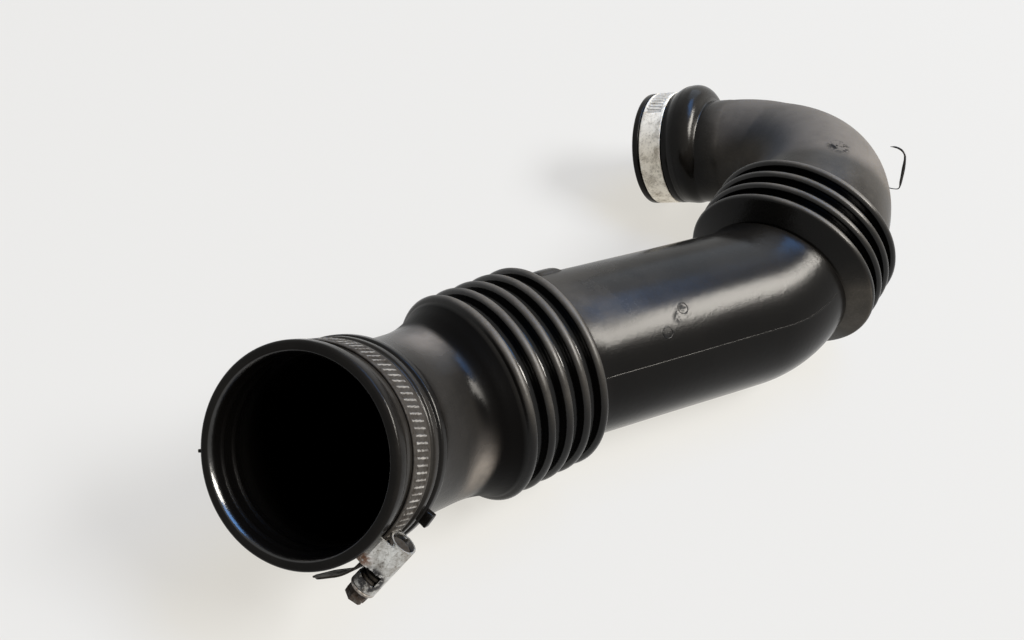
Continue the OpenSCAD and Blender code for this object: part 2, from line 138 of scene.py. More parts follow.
def smooth(t):
    """An S-curve from 0 to 1."""
    t = min(max(t, 0.0), 1.0)
    return t * t * (3 - 2 * t)


def mix(a, b, t):
    return a + (b - a) * t


# The upper elbow ends DROP off the outlet's axis, in the direction DROP_TURN, and comes
# back to it over CENTRED. The bead beside it stands off the other way.
DROP, DROP_TURN, CENTRED = 3.2, 139.0, 29
BEAD_LIFT = 1.4
# The bead's middle from the elbow's end, the radius of its section, and of that circle's middle
BEAD_AT, BEAD_ROUND, BEAD_RING_R = 20.5, 8.5, 26.7
# The flat shoulder behind the bead begins here
DISC_AT = 24.75


def off_axis(s):
    """How far the middle of the skin's rings lies off the centre line."""
    z = s - START["outlet"]
    if z > 0:
        return DROP * (1 - smooth(z / CENTRED))
    return DROP * smooth(1 + z / STRETCHES["upper"][0])


def ring_at(s, centre, radius, phi):
    """Distance to a ring with its own centre, from the middle of the skin at s."""
    away = centre - off_axis(s)
    angle = radians(phi - DROP_TURN)
    return away * cos(angle) + sqrt(max(radius**2 - (away * sin(angle)) ** 2, 0.0))


FRAMES = {}


def on_hose(s, phi, r):
    """The point at the angle phi round the hose, r from its middle, in metres."""
    if s not in FRAMES:
        FRAMES[s] = hose_frame(s)
    a, b, off = radians(phi), radians(DROP_TURN), off_axis(s)
    return (FRAMES[s] @ Vector((r * cos(a) + off * cos(b), r * sin(a) + off * sin(b), 0))) * MM


def rows(start, end, step):
    """Places a step apart, from start to just short of end."""
    return [start + k * step for k in range(ceil((end - start) / step))]


def rounded(s0, r0, s1, r1, steps):
    """Points of an S-curve from one radius to another."""
    shares = [k / steps for k in range(1, steps + 1)]
    return [(mix(s0, s1, t), mix(r0, r1, smooth(t))) for t in shares]


def arc(s, r, radius, start, end, steps):
    """Points of an arc about (s, r), angles from +s towards +r."""
    angles = [radians(mix(start, end, k / steps)) for k in range(steps + 1)]
    return [(s + radius * cos(a), r + radius * sin(a)) for a in angles]


def fold_points(start, wall, lean, count, pitch, crest, valley, half):
    """Section of a bellows, from its first crest, where the surface leans by an angle.

    half is half a crest's width, and wall is how far the section lies inside the skin.
    """
    groove = pitch / 2 - half
    trough = valley - wall + groove
    points = []
    for i in range(count):
        left = start + i * pitch
        if i:
            points += arc(left, trough, groove + wall, 270, 350, 5)
        crest_from = 178 if i else lean
        points += arc(left + pitch / 2, crest - wall - half, half - wall * 0.8, crest_from, 2, 9)
        points += arc(left + pitch, trough, groove + wall, 190, 262, 4)
    points.append((start + count * pitch, valley - wall))
    return points


def elbow_r(s, wide, narrow):
    """The upper elbow narrows over the first three quarters of its bend."""
    t = (s - START["upper"]) / (START["outlet"] - START["upper"])
    return mix(wide, narrow, min(t / 0.75, 1.0))


def outer_section():
    """The outside as (s, radius), from the wide mouth to the narrow one."""
    points = [(0.0, 37.9), (0.0, 39.2)]
    points += arc(1.5, LIP_R - 1.5, 1.5, 180, 90, 5) + [(3.0, LIP_R)]
    points += arc(4.7, LIP_R - 1.3, 1.3, 90, 0, 5)
    # The clamp's seat ends at a low bead, and the collar stands beside that
    points += [(s, CUFF_R) for s in (6.05, 9.0, 12.0, 20.0, 27.6)]
    points += arc(28.6, CUFF_R + 0.6, 0.6, 180, 90, 4) + [(30.4, CUFF_R + 1.2)]
    points += arc(30.9, CUFF_R + 0.8, 0.4, 90, 0, 3)
    points += [(31.4, CUFF_R + 0.1), (32.6, CUFF_R + 0.05)]
    points += arc(34.3, COLLAR_R - 1.2, 1.2, 180, 90, 5) + [(36.2, COLLAR_R)]
    points += arc(37.0, COLLAR_R - 1.2, 1.2, 90, 10, 6)
    points += rounded(38.3, CUFF_R + 0.2, 43.5, NECK_R + 0.1, 7)
    points += [(s, NECK_R) for s in (47, 52, 58, 64, 70, 75)]
    # The neck opens out into the first fold in one hollow curve
    for k in range(1, 19):
        t = k / 18
        points.append((mix(77, START["front"] + 2.4, t), mix(NECK_R, 44.2, t**2.6)))
    points += fold_points(START["front"], 0.0, 178, **FRONT_FOLDS)
    points += rounded(START["set"] + 0.4, 40.4, START["set"] + 2.6, PIPE_R, 5)
    points += [(s, PIPE_R) for s in rows(START["set"] + 4.5, START["groove"] - 2.8, 2.6)]
    # The pipe's end is rounded over into a narrow groove, and a cone leads to the first fold
    groove = START["groove"]
    points += arc(groove - 1.2, PIPE_R - 1.5, 1.5, 90, 5, 6)
    points += [(groove + 0.42, 37.35), (groove + 0.7, 37.35)]
    cone = [k / 8 for k in range(8)]
    points += [(groove + mix(1.0, 6.1, t), mix(37.9, 48.3, t)) for t in cone]
    points += fold_points(START["rear"], 0.0, 153, **REAR_FOLDS)
    points += rounded(START["lead"] + 0.3, 43.0, START["lead"] + 3.0, 40.3, 6)
    for s in rows(START["lead"] + 4.5, START["outlet"] - 0.5, 1.9):
        points.append((s, elbow_r(s, ELBOW_R, OUTLET_R)))
    # The rows are close at the bead, whose round form skin_r() gives
    outlet = START["outlet"]
    points += [(outlet + z, OUTLET_R) for z in (0.5, 2.5, 4.5, 6.5, 8.5, 10.0, 11.0)]
    points += [(outlet + 11.6 + 0.5 * k, OUTLET_R) for k in range(34)]
    points += [(outlet + z, SHOULDER_R) for z in (28.6, 29.4, 30.2)]
    points += arc(outlet + 31.0, SHOULDER_R - 0.4, 0.45, 90, 0, 3)
    points += [(outlet + z, NARROW_R) for z in (31.5, 35, 40, 45.6)]
    points += arc(outlet + 46.9, NARROW_R, 0.9, 180, 90, 4)
    points += arc(outlet + 48.7, NARROW_R - 0.4, 1.3, 90, 0, 5)
    return points


def inner_section():
    """The bore as (s, radius), from the narrow mouth back to the wide one."""
    outlet = START["outlet"]
    points = [(outlet + 50.0, NARROW_BORE_R + 1.6), (outlet + 49.2, NARROW_BORE_R + 0.3)]
    points += [(outlet + z, NARROW_BORE_R) for z in (48.0, 40.0, 30.0, 28.0)]
    points += [(outlet + z, OUTLET_BORE_R) for z in (27.6, 22.0, 18.0, 15.5, 13.0, 8.0, 3.0)]
    for s in rows(outlet - 3, START["upper"] + 2, -4.5):
        points.append((s, elbow_r(s, ELBOW_BORE_R, OUTLET_BORE_R)))
    points += fold_points(START["rear"], FOLD_WALL, 150, **REAR_FOLDS)[::-1]
    points += [(START["groove"] + 2.3, 36.0), (START["groove"] + 1.0, 35.4)]
    points += [(s, PIPE_BORE_R) for s in rows(START["groove"] - 2, START["set"] + 4, -5.0)]
    points += fold_points(START["front"], FOLD_WALL, 178, **FRONT_FOLDS)[::-1]
    points += [(START["front"] - 1, 38.4), (START["front"] - 5, 36.8)]
    points += [(s, NECK_BORE_R) for s in rows(START["flare"] - 6, NECK_FROM, -4.5)]
    # A step leads from the neck up to the cuff's bore
    points += [(37.2, NECK_BORE_R), (36.2, NECK_BORE_R + 0.05), (36.0, 35.6), (36.0, 36.2)]
    points += [(s, CUFF_BORE_R) for s in (35.7, 30.0, 24.0)]
    # Two low sealing ribs stand up inside the wide mouth
    for middle, flat, height in ((14.0, 0.4, 0.8), (7.1, 0.3, 0.7)):
        for out, rise in ((flat + 1.6, 0.0), (flat + 0.8, 0.2), (flat, height)):
            points.append((middle + out, CUFF_BORE_R - rise))
        for out, rise in ((flat, height), (flat + 0.8, 0.2), (flat + 1.6, 0.0)):
            points.append((middle - out, CUFF_BORE_R - rise))
    points += [(2.6, CUFF_BORE_R), (1.6, 36.75), (0.7, 37.25), (0.15, 37.65)]
    return points


OUTER = outer_section()
SECTION = OUTER + inner_section()


def wobble(s, phi):
    """Soft unevenness of a moulded wall, always inwards, and less of it on the cuffs."""
    a = radians(phi)
    wide = noise.noise(Vector((cos(a) * 1.3, sin(a) * 1.3, s / 34.0)))
    fine = noise.noise(Vector((cos(a) * 4.0, sin(a) * 4.0, s / 11.0)))
    depth = 0.3 * (0.5 + 0.5 * wide) + 0.07 * (0.5 + 0.5 * fine)
    return -depth if NECK_FROM < s < START["outlet"] + 24 else -0.35 * depth


def merge(a, b):
    """The greater of two distances, with the corner between them rounded off."""
    blend = max(0.9 - abs(a - b), 0.0) / 0.9
    return max(a, b) + 0.2 * blend * blend


def skin_r(s, phi, r, inside):
    """Radius of the skin about its middle: beside the bead it differs round the hose."""
    z = s - START["outlet"]
    if z <= 0:
        return r
    if inside:
        return ring_at(s, DROP * (1 - smooth((z - 13) / 5)), r, phi)
    neck = bead = disc = 0.0
    if z < BEAD_AT:
        neck = ring_at(s, DROP, OUTLET_R + 0.2, phi)
    # The bead's far side is drawn out and runs into the shoulder
    lean = (z - BEAD_AT) * (1.0 if z < BEAD_AT else 0.72)
    if abs(lean) < BEAD_ROUND:
        bead = ring_at(s, -BEAD_LIFT, BEAD_RING_R + sqrt(BEAD_ROUND**2 - lean**2), phi)
    if z > DISC_AT:
        rim = SHOULDER_R - 0.8 + 0.8 * smooth((z - DISC_AT) / 0.8)
        disc = ring_at(s, 0.0, r if z > 28 else rim, phi)
    return merge(merge(neck, bead), disc)


def skin(s, phi, r, inside=False, up=0.0):
    """A point of the hose in metres, with the wall's unevenness."""
    return on_hose(s, phi, skin_r(s, phi, r, inside) + wobble(s, phi) + up)


def new_mesh():
    """An empty mesh with the layers that all the pieces have."""
    bm = bmesh.new()
    bm.loops.layers.uv.new("wrap")
    bm.verts.layers.float.new("dirt_and_painted_light")
    bm.verts.layers.float_vector.new("spot")
    return bm


def wrap_grid(across, around, place, where=None, scale=(1.0, 1.0)):
    """A flat grid, each of whose corners goes where place(i, j) says, in metres."""
    bm = new_mesh()
    uv_layer = bm.loops.layers.uv["wrap"]
    spot = bm.verts.layers.float_vector["spot"]
    bmesh.ops.create_grid(bm, x_segments=across, y_segments=around, size=1.0)
    corners = {}
    for v in bm.verts:
        corners[v] = (round((v.co.x + 1) / 2 * across), round((v.co.y + 1) / 2 * around))
    for f in bm.faces:
        f.smooth = True
        for loop in f.loops:
            i, j = corners[loop.vert]
            loop[uv_layer].uv = (i / across * scale[0], j / around * scale[1])
    for v, (i, j) in corners.items():
        v.co = place(i, j)
        if where:
            v[spot] = where(i, j)
    bmesh.ops.remove_doubles(bm, verts=bm.verts, dist=1e-6)
    return bm


def add_mesh(bm, other):
    """Puts another mesh into bm."""
    bmesh.ops.recalc_face_normals(other, faces=other.faces)
    mesh = bpy.data.meshes.new("part")
    other.to_mesh(mesh)
    other.free()
    bm.from_mesh(mesh)
    bpy.data.meshes.remove(mesh)


def piece(name, bm, material, body, node):
    """Makes the object for a finished mesh and ties it to the frame."""
    mesh = bpy.data.meshes.new(name)
    bm.to_mesh(mesh)
    bm.free()
    mesh.materials.append(material)
    shown = bpy.data.objects.new(name, mesh)
    bpy.context.scene.collection.objects.link(shown)
    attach(shown, body)
    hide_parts(node)


def hose_corner(i, j):
    """A corner of the hose's grid: s, phi, its radius and whether it is inside."""
    i = i % len(SECTION)
    s, r = SECTION[i]
    return s, 360.0 * (j % SIDES) / SIDES, r, i >= len(OUTER)


def hose_point(i, j):
    return skin(*hose_corner(i, j))


def hose_spot(i, j):
    """Where a corner is, for the dust: s, the radius (less than 0 inside) and phi."""
    s, phi, r, inside = hose_corner(i, j)
    return (s, -r if inside else r, phi)


hose = new_mesh()
add_mesh(hose, wrap_grid(len(SECTION), SIDES, hose_point, hose_spot, (10.0, 2.4)))


def radius_at(s):
    """Outer radius of the hose at s, the nearest row of its section."""
    return min(OUTER, key=lambda row: abs(row[0] - s))[1]


def seam(phi, s0, s1):
    """The fine ridge that the two halves of a mould leave."""
    ridge = [row for row in OUTER if s0 <= row[0] <= s1]
    offsets = [(-0.5, -0.06), (-0.2, 0.12), (0.2, 0.12), (0.5, -0.06)]

    def place(i, j):
        s, r = ridge[i]
        across, up = offsets[j]
        return skin(s, phi + degrees(across / r), r, False, up)

    return wrap_grid(len(ridge) - 1, 3, place, lambda i, j: (*ridge[i], phi))


SEAM_PHI = 4.5
for side in (0, 180):
    add_mesh(hose, seam(SEAM_PHI + side, START["set"] + 4, START["groove"] - 3))


def stamp(s, phi):
    """A small raised ring, the mark of an insert in the mould."""
    r = radius_at(s)
    ring_r, wire_r, height = 2.5, 0.3, 0.12

    def place(i, j):
        a = 2 * pi * i / 28
        b = 2 * pi * j / 6
        out = ring_r + wire_r * cos(b)
        return skin(s + out * cos(a), phi + degrees(out * sin(a) / r), r, False, height * sin(b))

    return wrap_grid(28, 6, place, lambda i, j: (s, r, phi))


# The stamped marks and the scuffs of the skin: s, phi and the size of each one's stain
STAMPS = [(196.8, 346.0, 3.2), (208.0, 333.0, 4.2)]
SCUFFS = [(204.0, 338.0, 3.0), (358.0, 309.0, 6.0)]
for stamp_s, stamp_phi, _ in STAMPS:
    add_mesh(hose, stamp(stamp_s, stamp_phi))


def block(s0, s1, phi0, phi1, r0, r1, edge):
    """A raised block on the skin with rounded edges."""
    part = new_mesh()
    spot = part.verts.layers.float_vector["spot"]
    bmesh.ops.create_cube(part, size=1.0)
    wide = radians(phi1 - phi0) * r1
    for v in part.verts:
        r = mix(r0, r1, v.co.z + 0.5)
        v.co = Vector((mix(s0, s1, v.co.x + 0.5), wide * (v.co.y + 0.5), r))
    bmesh.ops.bevel(
        part, geom=part.edges[:], offset=edge, affect="EDGES", segments=3, profile=0.5, material=-1
    )
    long_edges = [e for e in part.edges if abs(e.verts[0].co.y - e.verts[1].co.y) > wide * 0.5]
    bmesh.ops.subdivide_edges(part, edges=long_edges, cuts=max(2, int(wide / 1.5)))
    for f in part.faces:
        f.smooth = True
    for v in part.verts:
        s, r, phi = v.co.x, v.co.z, phi0 + degrees(v.co.y / r1)
        v[spot] = (s, r, phi)
        v.co = on_hose(s, phi, r)
    return part


def key(s0, s1, phi0, phi1, height):
    """The short key: a low crown on the skin behind the bellows, round at its rim."""
    across, around, sunk = 20, 28, 0.25

    def place(i, j):
        a, b = i / across * 2 - 1, j / around * 2 - 1
        up = height * sqrt(max(1 - a**4, 0.0)) * sqrt(max(1 - b**6, 0.0)) - sunk
        return skin(mix(s0, s1, i / across), mix(phi0, phi1, j / around), PIPE_R, False, up)

    def where(i, j):
        return (mix(s0, s1, i / across), PIPE_R, mix(phi0, phi1, j / around))

    return wrap_grid(across, around, place, where)


add_mesh(hose, key(START["pipe"] - 7.5, START["pipe"] + 3, 215, 268, 2.2))
# The lug stands on the collar, beside the clamp's screw
add_mesh(hose, block(33.8, 37.2, 34.5, 42.5, 39.0, 44.8, 0.5))
# A nib of flash stands on the lip of the wide mouth
add_mesh(hose, block(0.4, 1.8, 179.2, 181.0, 38.5, 42.3, 0.3))

# A curled strand of flash hangs on to the elbow by a thread: s, phi, r and its half width
STRAND = [
    (362.2, 15.2, 36.2, 0.3),
    (362.2, 17.3, 39.4, 0.24),
    (362.6, 17.6, 41.8, 0.3),
    (364.4, 14.4, 43.2, 0.75),
    (367.0, 9.3, 45.5, 0.9),
    (369.2, 4.7, 47.8, 0.6),
    (370.2, 2.3, 48.2, 0.5),
    (371.0, -0.1, 47.5, 0.55),
    (371.4, -2.9, 45.8, 0.5),
    (371.4, -5.5, 43.6, 0.1),
]
CAMERA_WAY = Vector((0.414, 0.654, -0.633))  # The way the camera looks


def strand_mesh(steps):
    """The strand is a flat ribbon that shows its width to the camera."""
    thin = 0.25 * MM
    line = [(on_hose(s, phi, r), w * MM) for s, phi, r, w in STRAND]
    line = [line[0]] + line + [line[-1]]

    def at(i):
        """A smooth curve through the points, and half its width there."""
        k = min(i // steps, len(line) - 4)
        t = min(i / steps - k, 1.0)
        (a, _), (b, wide_b), (c, wide_c), (d, _) = line[int(k) : int(k) + 4]
        bend = (2 * a - 5 * b + 4 * c - d) * t * t
        curve = 0.5 * (2 * b + (c - a) * t + bend + (3 * b - a - 3 * c + d) * t**3)
        return curve, mix(wide_b, wide_c, smooth(t))

    def place(i, j):
        centre, wide = at(i)
        ahead = (at(i + 0.5)[0] - at(i - 0.5 if i else 0)[0]).normalized()
        side = ahead.cross(CAMERA_WAY).normalized()
        a = 2 * pi * j / 6
        return centre + side * wide * cos(a) + ahead.cross(side) * min(wide, thin) * sin(a)

    count = (len(STRAND) - 1) * steps
    return wrap_grid(count, 6, place, lambda i, j: (START["outlet"] + 40.0, 30.0, 0))


add_mesh(hose, strand_mesh(5))


def patch(s, phi, s0, phi0, ds, dphi):
    """A soft round patch about a place on the hose."""
    away = (phi - phi0 + 180) % 360 - 180
    return exp(-(((s - s0) / ds) ** 2) - (away / dphi) ** 2)


def dust_and_painted_light_on(s, r, phi, lie, top, at):
    """How thick the dust lies at a place on the hose, from 0 to 1, with painted light on the first
    rear fold's face.
    """
    cloud = 0.5 + 0.5 * noise.noise(at * 38.0) + 0.25 * noise.noise(at * 120.0)
    if s < LIP_TO:
        amount = 0.08
    elif s < SEAT_TO:
        amount = 0.2
    elif s < CUFF_TO:
        amount = 0.04
    elif s < START["front"] + 2:
        amount = mix(0.07, 0.0, smooth((s - 78) / 8))
    elif s < START["set"]:
        amount = smooth((r - FRONT_FOLDS["crest"] + 3.8) / 3.0) * (0.7 * top + 0.4 * lie**3)
    elif s < START["groove"] + 0.3:
        amount = 0.015 + mix(0.42, 0.1, smooth((s - START["set"]) / 70)) * top
    elif s < START["rear"] + 3:
        # Painted light: a band round phi 36 on the first rear fold's face takes the dust colour,
        # whichever way it faces
        amount = 0.08 + 3.0 * patch(s, phi, s, 36, 1, 22)
        lie = max(lie, 0.5)
    elif s < START["lead"]:
        amount = smooth((r - REAR_FOLDS["crest"] + 3.5) / 3.0) * (0.7 * top + 0.25 * lie**3)
    elif s < START["outlet"]:
        amount = mix(0.4, 1.0, smooth((s - START["upper"] - 14) / 10))
    else:
        amount = mix(0.7, 0.1, smooth((s - START["outlet"]) / 12))
    return min(1.0, amount * (0.25 + 0.75 * lie) * (0.6 + 0.8 * cloud))


# Patches of grey bloom on the neck, which also paint highlights where light falls on it:
# strength, s, phi, and how far each spreads both ways
NECK_BLOOM_AND_PAINTED_SHEEN = [(1.0, 82, 287, 17, 19), (1.4, 83, 33, 8, 18), (0.04, 60, 0, 14, 60)]


def bloom_and_painted_sheen_on(s, phi, lie):
    """Grey bloom of old rubber on the neck, its hollow and the upper elbow, with painted highlights
    on the neck.
    """
    neck = sum(strength * patch(s, phi, *where) for strength, *where in NECK_BLOOM_AND_PAINTED_SHEEN)
    neck *= 1 - smooth((s - 89 - 3 * cos(radians(phi * 3))) / 4)
    elbow = 0.55 * smooth((s - START["upper"] - 14) / 10)
    elbow *= (1 - smooth((s - START["outlet"] + 8) / 12)) * lie
    return min(1.0, max(neck, 0.0) * smooth((s - 42) / 5) + elbow)


def shine_on(s, phi, down):
    """How much the outside shines: the folds most, and the pipe from below."""
    if START["set"] + 2 < s < START["groove"]:
        # Painted reflection: the pipe shines more the more it faces down, so the floor shows brighter
        # in it
        return mix(0.11, 0.42, smooth((down - 0.12) / 0.55))
    if START["front"] + 2 < s < START["set"] or START["rear"] + 3 < s < START["lead"]:
        return 0.25
    # Painted shade: a patch of the neck shines less
    return (0.085 if s < LIP_TO else 0.125) * (1 - 0.7 * patch(s, phi, 84, 345, 14, 28))


dirt_and_painted_light = hose.verts.layers.float["dirt_and_painted_light"]
spot = hose.verts.layers.float_vector["spot"]
painted_shade = hose.verts.layers.float.new("painted_shade")
bloom_and_painted_sheen = hose.verts.layers.float.new("bloom_and_painted_sheen")
shine = hose.verts.layers.float.new("shine")
hose.normal_update()
for v in hose.verts:
    s, r, phi = v[spot]
    lie = smooth((v.normal.z + 0.35) / 1.1)
    top = smooth((v.normal.z - 0.62) / 0.36)
    if r < 0:
        # Deep inside the hose no light comes back
        v[painted_shade] = smooth((s - 17) / 8) * smooth((HOSE_END - 6 - s) / 8)
        v[shine] = 0.6 if s < 18 else 0.25
    else:
        v[dirt_and_painted_light] = dust_and_painted_light_on(s, r, phi, lie, top, v.co)
        v[bloom_and_painted_sheen] = bloom_and_painted_sheen_on(s, phi, lie)
        v[shine] = shine_on(s, phi, -v.normal.z)
        # Painted shade: the flare before the folds loses its gloss, and stays matt and black
        v[painted_shade] = 0.7 * smooth((s - 86) / 6) * (1 - smooth((s - START["front"] - 1) / 3))


class Paint:
    """A Principled material built from procedural nodes."""

    def __init__(self, name):
        self.material = bpy.data.materials.new(name)
        self.material.use_nodes = True
        self.tree = self.material.node_tree
        self.tree.nodes.clear()
        self.shader = self.tree.nodes.new("ShaderNodeBsdfPrincipled")
        out = self.tree.nodes.new("ShaderNodeOutputMaterial")
        self.tree.links.new(self.shader.outputs["BSDF"], out.inputs["Surface"])
        self.place = self.tree.nodes.new("ShaderNodeTexCoord").outputs["Object"]

    def put(self, socket, value):
        """A socket takes another node's output, or a plain value."""
        if isinstance(value, bpy.types.NodeSocket):
            self.tree.links.new(value, socket)
        else:
            socket.default_value = value

    def noise(self, scale, detail=3.0, rough=0.55, place=None):
        """A cloud pattern, with scale spots to the metre."""
        node = self.tree.nodes.new("ShaderNodeTexNoise")
        self.put(node.inputs["Vector"], place or self.place)
        self.put(node.inputs["Scale"], scale)
        self.put(node.inputs["Detail"], detail)
        self.put(node.inputs["Roughness"], rough)
        return node.outputs["Fac"]

    def ramp(self, value, low, high, to_low=0.0, to_high=1.0):
        """An S-curve from to_low at low to to_high at high."""
        node = self.tree.nodes.new("ShaderNodeMapRange")
        node.interpolation_type = "SMOOTHSTEP"
        self.put(node.inputs["Value"], value)
        self.put(node.inputs["From Min"], low)
        self.put(node.inputs["From Max"], high)
        self.put(node.inputs["To Min"], to_low)
        self.put(node.inputs["To Max"], to_high)
        return node.outputs["Result"]

    def math(self, kind, a, b, clamp):
        node = self.tree.nodes.new("ShaderNodeMath")
        node.operation = kind
        node.use_clamp = clamp
        self.put(node.inputs[0], a)
        self.put(node.inputs[1], b)
        return node.outputs[0]

    def times(self, a, b):
        return self.math("MULTIPLY", a, b, True)

    def plus(self, a, b):
        return self.math("ADD", a, b, True)

    def minus(self, a, b):
        return self.math("SUBTRACT", a, b, False)

    def shifted(self, way):
        """The place, moved, so that two like materials don't have the same stains."""
        node = self.tree.nodes.new("ShaderNodeVectorMath")
        node.operation = "ADD"
        self.put(node.inputs[0], self.place)
        node.inputs[1].default_value = way
        return node.outputs["Vector"]

    def near(self, point, inner, outer):
        """1 within inner metres of a point of the object, 0 beyond outer."""
        node = self.tree.nodes.new("ShaderNodeVectorMath")
        node.operation = "DISTANCE"
        self.put(node.inputs[0], self.place)
        node.inputs[1].default_value = point
        return self.ramp(node.outputs["Value"], inner, outer, 1.0, 0.0)

    def blend(self, share, a, b):
        node = self.tree.nodes.new("ShaderNodeMix")
        node.data_type = "RGBA"
        self.put(node.inputs[0], share)
        first, second = [socket for socket in node.inputs if socket.type == "RGBA"]
        self.put(first, a)
        self.put(second, b)
        return next(socket for socket in node.outputs if socket.type == "RGBA")

    def attribute(self, name):
        node = self.tree.nodes.new("ShaderNodeAttribute")
        node.attribute_name = name
        return node.outputs["Fac"]

    def bump(self, height, strength, distance):
        node = self.tree.nodes.new("ShaderNodeBump")
        self.put(node.inputs["Height"], height)
        self.put(node.inputs["Strength"], strength)
        self.put(node.inputs["Distance"], distance)
        self.put(self.shader.inputs["Normal"], node.outputs["Normal"])

    def set(self, **values):
        for socket, value in values.items():
            self.put(self.shader.inputs[socket.replace("_", " ")], value)


def grey(value, warm=1.0, cool=1.0):
    """A grey with more or less red and blue in it."""
    return (value * warm, value, value * cool, 1.0)


BLACK_RUBBER = grey(0.0012, 1.15, 0.9)
DUST_AND_PAINTED_LIGHT = grey(0.066, 1.12, 0.84)
BLOOM_AND_PAINTED_SHEEN = grey(0.12, 1.12, 0.88)
BLOT = grey(0.012)

rubber = Paint("moulded_rubber")
lying_dust_and_light = rubber.attribute("dirt_and_painted_light")
painted_shade_mask = rubber.attribute("painted_shade")
# The dust is patchy, and coarse grains lie in it
patches = rubber.ramp(rubber.noise(46.0, 5.0, 0.6), 0.32, 0.68)
grains = rubber.ramp(rubber.noise(900.0, 2.0), 0.5, 0.72)
film = rubber.times(lying_dust_and_light, rubber.plus(rubber.times(patches, 0.5), 0.6))
thick = rubber.plus(film, rubber.times(rubber.times(grains, lying_dust_and_light), 0.2))
mottled = rubber.ramp(rubber.noise(70.0, 6.0, 0.65), 0.2, 0.7, 0.45, 1.0)
# The grey bloom is mottled, and on the neck it is also a painted highlight
haze_and_painted_sheen = rubber.times(rubber.attribute("bloom_and_painted_sheen"), mottled)
# Stains about the stamped marks and the scuffs break up the gloss
stained = 0.0
for mark_s, mark_phi, size in STAMPS + SCUFFS:
    mark = on_hose(mark_s, mark_phi, radius_at(mark_s))
    stained = rubber.plus(stained, rubber.near(mark, size * 0.5 * MM, size * 1.3 * MM))
blot = rubber.times(stained, rubber.ramp(rubber.noise(330.0, 4.0, 0.7), 0.46, 0.56))
# Painted shade and the stains take away the gloss
matt = rubber.plus(painted_shade_mask, rubber.times(blot, 0.9))
colour = rubber.blend(haze_and_painted_sheen, rubber.blend(thick, BLACK_RUBBER, DUST_AND_PAINTED_LIGHT), BLOOM_AND_PAINTED_SHEEN)
dusty = rubber.ramp(thick, 0.0, 0.8, 0.2, 0.55)
rubber.set(
    Base_Color=rubber.blend(blot, colour, BLOT),
    Roughness=rubber.plus(dusty, rubber.times(rubber.plus(painted_shade_mask, haze_and_painted_sheen), 0.35)),
    Specular_IOR_Level=rubber.times(rubber.attribute("shine"), rubber.minus(1.0, matt)),
)
rubber.bump(rubber.noise(420.0, 4.0, 0.6), 0.12, 0.6 * MM)
piece("hose", hose, rubber.material, "duct", "duct_hose")

# Band of the front clamp. A steel strip bent to a ring round the wide cuff, with a
# straight strap through the housing. Slanted ribs are pressed into it for the worm,
# and its free end is clipped to a blunt point.
STRIP_THICK, STRIP_HALF = 0.7, 6.5
STRAP, TAIL = 15.5, 12.0
STRAP_BEND, STRAP_BEND_R = radians(35), 20.0
THREAD_PITCH, THREAD_SLANT = 2.63, 0.12
RIB_HEIGHT, RIB_SUNK = 0.42, 0.16
FRONT_CLAMP = REST @ turn(44.5, "Z")
FRONT_RING_R = 40.1
# The strip's rows from edge to edge, with its edges rounded and its ribs in the middle
STRIP_ROWS = [-6.5, -6.42, -6.0, -5.2, -4.5, -4.15, -3.8]
STRIP_ROWS += [-3.8 + 0.58 * k for k in range(1, 14)]
STRIP_ROWS += [4.1, 4.5, 5.2, 6.0, 6.42, 6.5]


